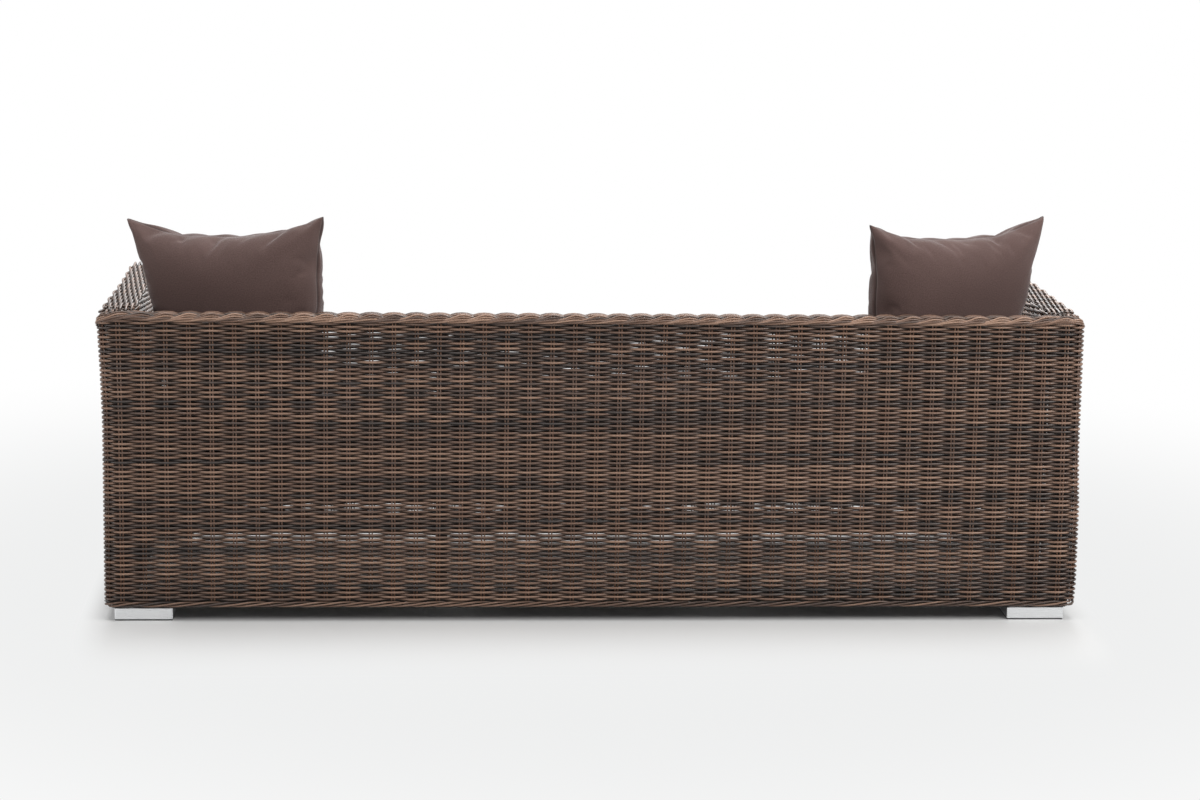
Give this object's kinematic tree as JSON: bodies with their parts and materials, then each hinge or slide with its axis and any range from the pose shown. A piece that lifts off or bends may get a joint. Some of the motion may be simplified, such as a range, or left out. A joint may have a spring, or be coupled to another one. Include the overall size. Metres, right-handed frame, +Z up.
{
  "type": "rattan garden sofa",
  "caption": "Box-shaped garden sofa of woven round resin strands on an aluminium tube frame, with flat metal feet, lift-off seat cushions and corner scatter cushions.",
  "frame": {"origin": "middle of the footprint, on the floor", "axes": "+Z up, +X to the right as seen from the front, +Y towards the back; the seat faces -Y"},
  "size_m": [2.1, 0.8, 0.8512],
  "materials": {
    "woven_strands": "satin round resin strands, rose-brown and dark grey-brown rows, mottled",
    "border_strands": "satin round resin strands, braided and twisted",
    "frame_tube": "dark brown powder coat",
    "foot_metal": "bright brushed",
    "glider_plastic": "matt black",
    "bolt_steel": "zinc plated",
    "seat_fabric": "plain woven brown outdoor cloth",
    "scatter_fabric": "plain woven brown outdoor cloth"
  },
  "bodies": {
    "sofa_body": {"back_top_rail": "frame_tube", "left_arm_top_rail": "frame_tube", "right_arm_top_rail": "frame_tube", "rear_left_corner_post": "frame_tube", "rear_right_corner_post": "frame_tube", "front_left_corner_post": "frame_tube", "front_right_corner_post": "frame_tube", "back_post_1": "frame_tube", "back_post_2": "frame_tube", "left_arm_middle_post": "frame_tube", "right_arm_middle_post": "frame_tube", "rear_bottom_rail": "frame_tube", "front_bottom_rail": "frame_tube", "left_bottom_rail": "frame_tube", "right_bottom_rail": "frame_tube", "front_seat_rail": "frame_tube", "rear_seat_rail": "frame_tube", "left_seat_rail": "frame_tube", "right_seat_rail": "frame_tube", "seat_cross_bar_1": "frame_tube", "seat_cross_bar_2": "frame_tube", "seat_cross_bar_3": "frame_tube", "rear_left_foot": "foot_metal", "rear_left_glider": "glider_plastic", "rear_left_foot_bolt": "bolt_steel", "rear_right_foot": "foot_metal", "rear_right_glider": "glider_plastic", "rear_right_foot_bolt": "bolt_steel", "front_left_foot": "foot_metal", "front_left_glider": "glider_plastic", "front_left_foot_bolt": "bolt_steel", "front_right_foot": "foot_metal", "front_right_glider": "glider_plastic", "front_right_foot_bolt": "bolt_steel", "back_outer_weave": "woven_strands", "back_inner_weave": "woven_strands", "back_top_braid": "border_strands", "rear_bottom_border": "border_strands", "left_arm_outer_weave": "woven_strands", "left_arm_inner_weave": "woven_strands", "left_arm_top_weave": "woven_strands", "left_arm_front_weave": "woven_strands", "left_bottom_border": "border_strands", "right_arm_outer_weave": "woven_strands", "right_arm_inner_weave": "woven_strands", "right_arm_top_weave": "woven_strands", "right_arm_front_weave": "woven_strands", "right_bottom_border": "border_strands", "front_weave": "woven_strands", "front_bottom_border": "border_strands", "seat_deck_weave": "woven_strands"},
    "left_seat": {"left_seat_cushion": "seat_fabric"},
    "middle_seat": {"middle_seat_cushion": "seat_fabric"},
    "right_seat": {"right_seat_cushion": "seat_fabric"},
    "left_scatter": {"left_scatter_cushion": "scatter_fabric"},
    "right_scatter": {"right_scatter_cushion": "scatter_fabric"}
  },
  "joints": [
    {"name": "left_seat_lift", "type": "slide", "parent": "sofa_body", "child": "left_seat", "axis": [0, 0, 1], "range_m": [0, 0.4]},
    {"name": "middle_seat_lift", "type": "slide", "parent": "sofa_body", "child": "middle_seat", "axis": [0, 0, 1], "range_m": [0, 0.4]},
    {"name": "right_seat_lift", "type": "slide", "parent": "sofa_body", "child": "right_seat", "axis": [0, 0, 1], "range_m": [0, 0.4]},
    {"name": "left_scatter_lift", "type": "slide", "parent": "left_seat", "child": "left_scatter", "axis": [0, 0, 1], "range_m": [0, 0.3]},
    {"name": "right_scatter_lift", "type": "slide", "parent": "right_seat", "child": "right_scatter", "axis": [0, 0, 1], "range_m": [0, 0.3]}
  ]
}
